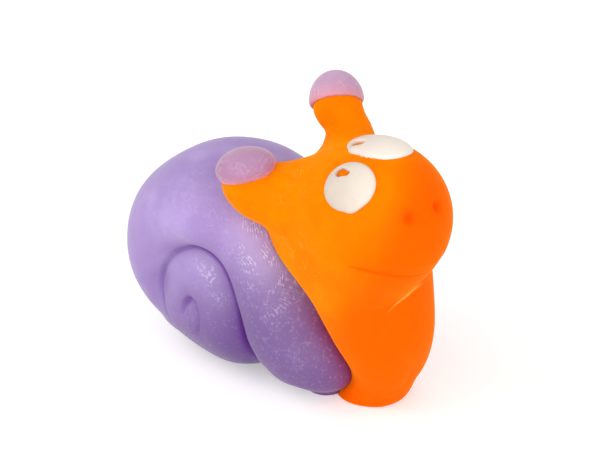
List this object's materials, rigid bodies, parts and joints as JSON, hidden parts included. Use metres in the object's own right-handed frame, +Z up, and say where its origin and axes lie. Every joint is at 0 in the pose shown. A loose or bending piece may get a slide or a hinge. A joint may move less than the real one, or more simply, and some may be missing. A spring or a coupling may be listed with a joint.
{
  "type": "snail figurine",
  "caption": "Hand-pressed modelling clay snail with a wound shell, a raised round head, two horns with rounded tips, pressed-on eyes and a flat base.",
  "frame": {"origin": "on the floor under the middle of the whole snail's bounding box", "axes": "+X the way the snail looks, along its length; +Y to the snail's left, across the shell; +Z up"},
  "size_m": [0.0602, 0.029, 0.0532],
  "materials": {
    "shell_clay": "waxy lilac modelling clay with fine finger ridges and pits",
    "body_clay": "waxy orange modelling clay, smoothed by hand",
    "tip_clay": "translucent pink and lilac modelling clay",
    "eye_clay": "warm white modelling clay, slightly chalky"
  },
  "bodies": {
    "root": {"shell": "shell_clay", "body": "body_clay", "horn_tip_right": "tip_clay", "horn_tip_left": "tip_clay", "eye_right": "eye_clay", "eye_left": "eye_clay"}
  },
  "joints": []
}
